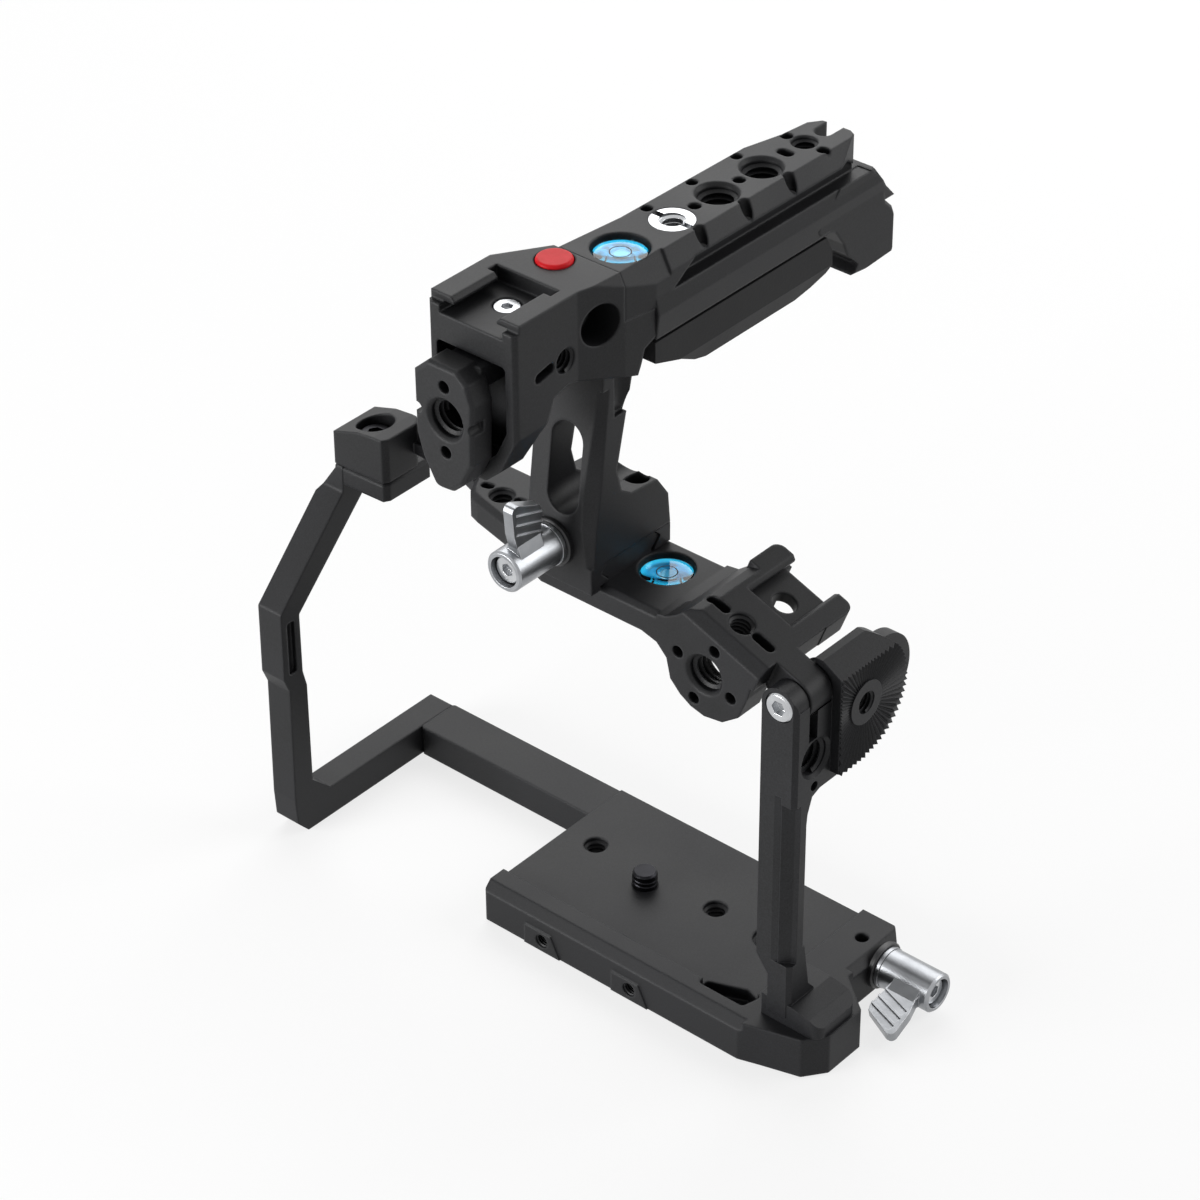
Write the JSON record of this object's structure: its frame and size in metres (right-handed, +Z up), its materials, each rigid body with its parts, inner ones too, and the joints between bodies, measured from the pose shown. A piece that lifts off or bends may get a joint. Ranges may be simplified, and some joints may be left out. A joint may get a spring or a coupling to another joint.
{
  "type": "camera_cage",
  "caption": "Black camera cage with base plate, side plate with toothed ear, top bar and arm round the grip, and a clamped top handle with cold shoes, threads, levels and lock levers",
  "frame": {"origin": "axis of the camera screw on the underside of the base plate", "axes": "X towards the side with the toothed ear, Y towards the rear, Z up"},
  "size_m": [0.1785, 0.1404, 0.2008],
  "materials": {
    "black_anodised": "matt black hard anodised, fine bead blast",
    "soft_pad": "matt moulded rubber",
    "black_steel": "black oxide",
    "black_ring": "smooth matt",
    "bright_steel": "turned, bright",
    "satin_silver": "satin machined",
    "spring_steel": "drawn wire",
    "red_anodised": "satin red",
    "switch_plastic": "moulded",
    "clear_acrylic": "clear polished",
    "blue_fluid": "tinted clear"
  },
  "bodies": {
    "cage": {"base_plate": "black_anodised", "side_plate": "black_anodised", "base_foot_screws": "black_steel", "hinge_screw": "bright_steel", "top_bar": "black_anodised", "bar_level_case": "clear_acrylic", "bar_level_fluid": "blue_fluid", "nato_rail": "black_anodised", "nato_rail_screws": "black_steel", "grip_side_arm": "black_anodised", "arm_bolt": "black_steel", "base_arm_screws": "black_steel", "base_lock_washer": "black_ring"},
    "camera_screw_body": {"camera_screw": "black_steel"},
    "base_lock": {"base_lock_spindle": "satin_silver", "base_lock_lever_screw": "bright_steel", "base_lock_spring": "spring_steel"},
    "base_lever": {"base_lock_lever": "satin_silver"},
    "handle": {"handle_head": "black_anodised", "front_mount": "black_anodised", "shoe_screw": "bright_steel", "handle_grip": "black_anodised", "grip_pad": "soft_pad", "grip_joint_screws": "black_steel", "grip_pad_screws": "black_steel", "thread_adapter": "bright_steel", "handle_level_case": "clear_acrylic", "handle_level_fluid": "blue_fluid", "record_switch": "switch_plastic", "record_spring": "spring_steel", "clamp_washer": "black_ring"},
    "clamp_screw": {"clamp_spindle": "satin_silver", "clamp_lever_screw": "bright_steel", "clamp_spring": "spring_steel"},
    "clamp_lever_body": {"clamp_lever": "satin_silver"},
    "rear_jaw": {"clamp_jaw": "black_anodised"},
    "record_button_body": {"record_button": "red_anodised"}
  },
  "joints": [
    {"name": "handle_slide", "type": "slide", "parent": "cage", "child": "handle", "axis": [1, 0, 0], "range_m": [-0.0055, 0.006]},
    {"name": "clamp_turn", "type": "hinge", "parent": "handle", "child": "clamp_screw", "pos_m": [-0.0067, -0.0255, 0.1256], "axis": [0, -1, 0], "range_deg": [0, 540]},
    {"name": "clamp_lever_pull", "type": "slide", "parent": "clamp_screw", "child": "clamp_lever_body", "axis": [0, -1, 0], "range_m": [0, 0.003], "stiffness_N_per_m": 900, "springref_m": -0.001, "deforming": ["clamp_spring"]},
    {"name": "jaw_slide", "type": "slide", "parent": "handle", "child": "rear_jaw", "axis": [0, 1, 0], "range_m": [0, 0.0012]},
    {"name": "record_press", "type": "slide", "parent": "handle", "child": "record_button_body", "axis": [0, 0, -1], "range_m": [0, 0.0012], "stiffness_N_per_m": 900, "springref_m": -0.0006, "deforming": ["record_spring"]},
    {"name": "base_lock_turn", "type": "hinge", "parent": "cage", "child": "base_lock", "pos_m": [0.063, 0.017, 0.0066], "axis": [1, 0, 0], "range_deg": [0, 540]},
    {"name": "base_lever_pull", "type": "slide", "parent": "base_lock", "child": "base_lever", "axis": [1, 0, 0], "range_m": [0, 0.003], "stiffness_N_per_m": 900, "springref_m": -0.001, "deforming": ["base_lock_spring"]},
    {"name": "camera_screw_turn", "type": "hinge", "parent": "cage", "child": "camera_screw_body", "pos_m": [0, 0, 0.005], "axis": [0, 0, 1], "continuous": true}
  ],
  "couplings": [
    {"joint": "jaw_slide", "follows": "clamp_turn", "m_per_rad": 0.00012732}
  ]
}
